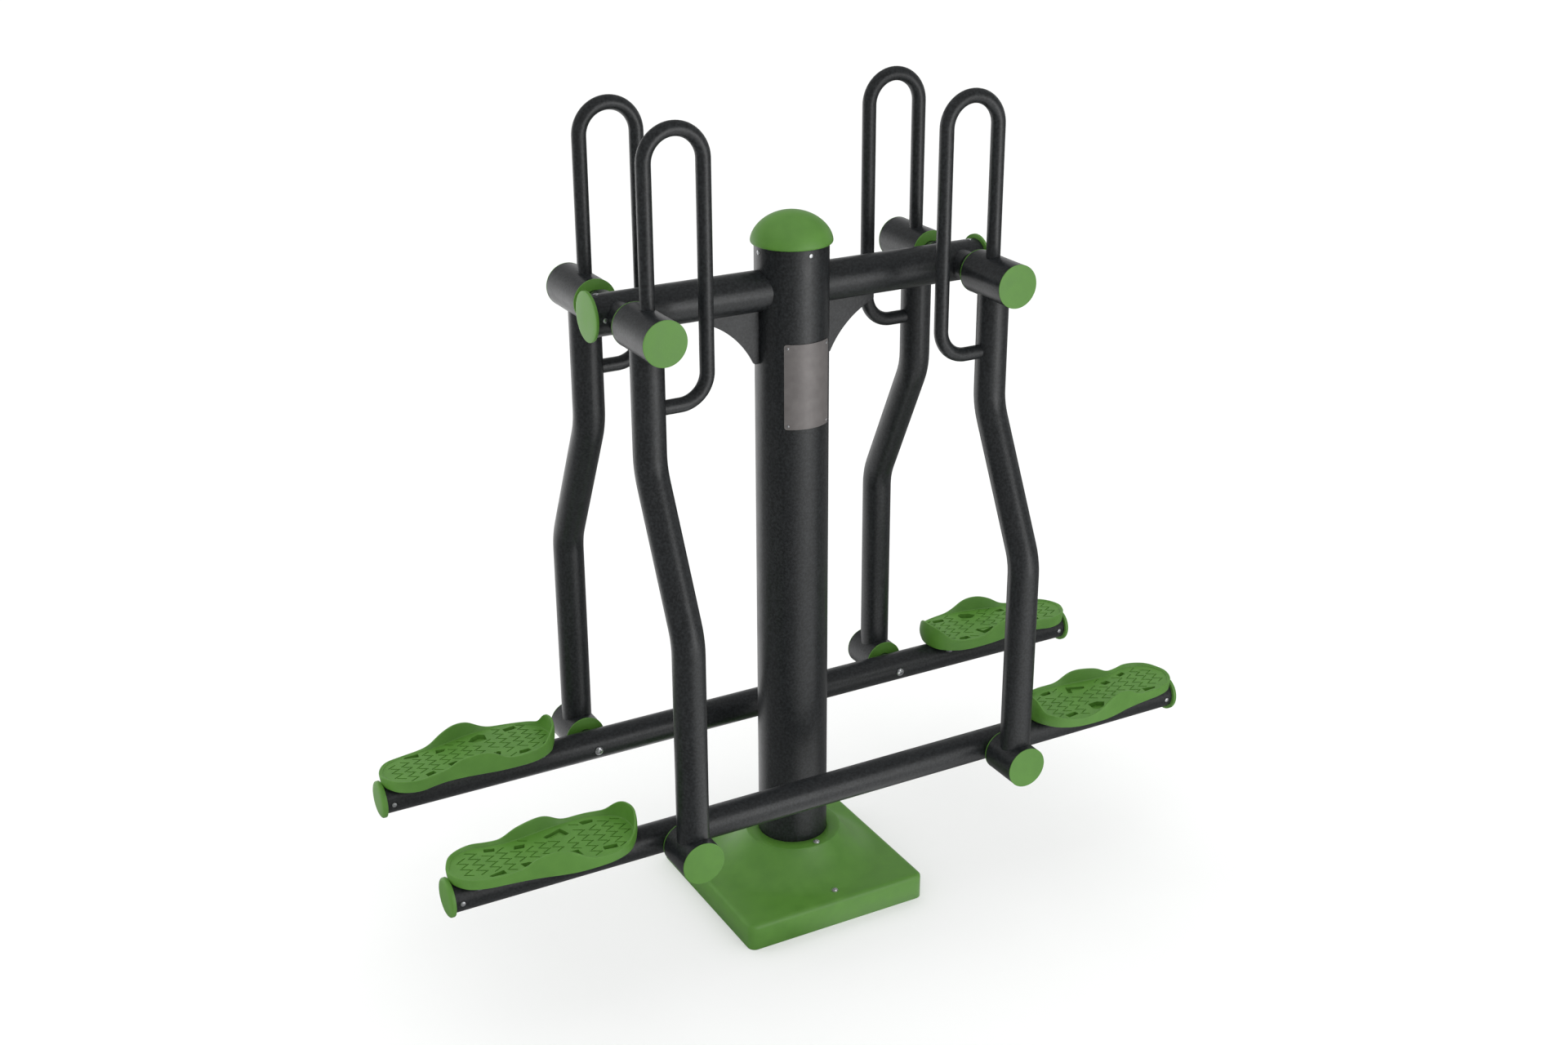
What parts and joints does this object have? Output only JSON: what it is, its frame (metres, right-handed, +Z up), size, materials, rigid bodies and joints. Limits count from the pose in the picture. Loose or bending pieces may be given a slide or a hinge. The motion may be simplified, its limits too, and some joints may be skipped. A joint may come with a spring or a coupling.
{
  "type": "outdoor air walker",
  "caption": "Outdoor walking trainer for two: a post with a crossbar, and on each side swinging arms with hand loops that carry a level beam with a footboard at either end.",
  "frame": {"origin": "on the ground under the post's axis", "axes": "+Z up, X along the crossbar and the beams with -X on the left, and -Y towards the front"},
  "size_m": [1.6212, 0.6304, 1.6258],
  "materials": {
    "charcoal_coat": "fine-textured powder coat on steel tube",
    "green_plastic": "moulded leaf-green plastic with a fine grain",
    "bright_steel": "turned stainless steel",
    "zinc_steel": "hot-dip galvanised",
    "plate_aluminium": "matt printed sheet"
  },
  "bodies": {
    "frame": {"anchor_plate": "zinc_steel", "base_cover": "green_plastic", "post": "charcoal_coat", "post_cap": "green_plastic", "instruction_plate": "plate_aluminium", "crossbar": "charcoal_coat", "crossbar_gusset_left": "charcoal_coat", "crossbar_gusset_right": "charcoal_coat", "crossbar_end_cap_left": "green_plastic", "crossbar_end_cap_right": "green_plastic", "crossbar_boss_left": "charcoal_coat", "crossbar_boss_right": "charcoal_coat", "pivot_shaft_left": "bright_steel", "pivot_shaft_right": "bright_steel"},
    "front_left_arm": {"front_left_leg": "charcoal_coat", "front_left_handle": "charcoal_coat", "front_left_upper_bearings": "bright_steel", "front_left_upper_outer_cap": "green_plastic", "front_left_upper_inner_cap": "green_plastic", "front_left_lower_bearings": "bright_steel", "front_left_lower_outer_cap": "green_plastic", "front_left_lower_inner_cap": "green_plastic"},
    "front_right_arm": {"front_right_leg": "charcoal_coat", "front_right_handle": "charcoal_coat", "front_right_upper_bearings": "bright_steel", "front_right_upper_outer_cap": "green_plastic", "front_right_upper_inner_cap": "green_plastic", "front_right_lower_bearings": "bright_steel", "front_right_lower_outer_cap": "green_plastic", "front_right_lower_inner_cap": "green_plastic"},
    "front_beam": {"front_beam": "charcoal_coat", "front_left_beam_cap": "green_plastic", "front_right_beam_cap": "green_plastic", "front_left_footboard": "green_plastic", "front_right_footboard": "green_plastic", "front_left_pivot_pin": "bright_steel", "front_right_pivot_pin": "bright_steel"},
    "rear_left_arm": {"rear_left_leg": "charcoal_coat", "rear_left_handle": "charcoal_coat", "rear_left_upper_bearings": "bright_steel", "rear_left_upper_outer_cap": "green_plastic", "rear_left_upper_inner_cap": "green_plastic", "rear_left_lower_bearings": "bright_steel", "rear_left_lower_outer_cap": "green_plastic", "rear_left_lower_inner_cap": "green_plastic"},
    "rear_right_arm": {"rear_right_leg": "charcoal_coat", "rear_right_handle": "charcoal_coat", "rear_right_upper_bearings": "bright_steel", "rear_right_upper_outer_cap": "green_plastic", "rear_right_upper_inner_cap": "green_plastic", "rear_right_lower_bearings": "bright_steel", "rear_right_lower_outer_cap": "green_plastic", "rear_right_lower_inner_cap": "green_plastic"},
    "rear_beam": {"rear_beam": "charcoal_coat", "rear_left_beam_cap": "green_plastic", "rear_right_beam_cap": "green_plastic", "rear_left_footboard": "green_plastic", "rear_right_footboard": "green_plastic", "rear_left_pivot_pin": "bright_steel", "rear_right_pivot_pin": "bright_steel"}
  },
  "joints": [
    {"name": "front_swing", "type": "hinge", "parent": "frame", "child": "front_left_arm", "pos_m": [-0.358, -0.147, 1.27], "axis": [0, 1, 0], "range_deg": [-30, 30]},
    {"name": "front_right_arm_swing", "type": "hinge", "parent": "frame", "child": "front_right_arm", "pos_m": [0.358, -0.147, 1.27], "axis": [0, 1, 0], "range_deg": [-30, 30]},
    {"name": "front_beam_pivot", "type": "hinge", "parent": "front_left_arm", "child": "front_beam", "pos_m": [-0.358, -0.2721, 0.31], "axis": [0, 1, 0], "range_deg": [-30, 30]},
    {"name": "rear_swing", "type": "hinge", "parent": "frame", "child": "rear_left_arm", "pos_m": [-0.358, 0.147, 1.27], "axis": [0, 1, 0], "range_deg": [-30, 30]},
    {"name": "rear_right_arm_swing", "type": "hinge", "parent": "frame", "child": "rear_right_arm", "pos_m": [0.358, 0.147, 1.27], "axis": [0, 1, 0], "range_deg": [-30, 30]},
    {"name": "rear_beam_pivot", "type": "hinge", "parent": "rear_left_arm", "child": "rear_beam", "pos_m": [-0.358, 0.2721, 0.31], "axis": [0, 1, 0], "range_deg": [-30, 30]}
  ],
  "couplings": [
    {"joint": "front_right_arm_swing", "follows": "front_swing", "ratio": 1},
    {"joint": "front_beam_pivot", "follows": "front_swing", "ratio": -1},
    {"joint": "rear_right_arm_swing", "follows": "rear_swing", "ratio": 1},
    {"joint": "rear_beam_pivot", "follows": "rear_swing", "ratio": -1}
  ]
}
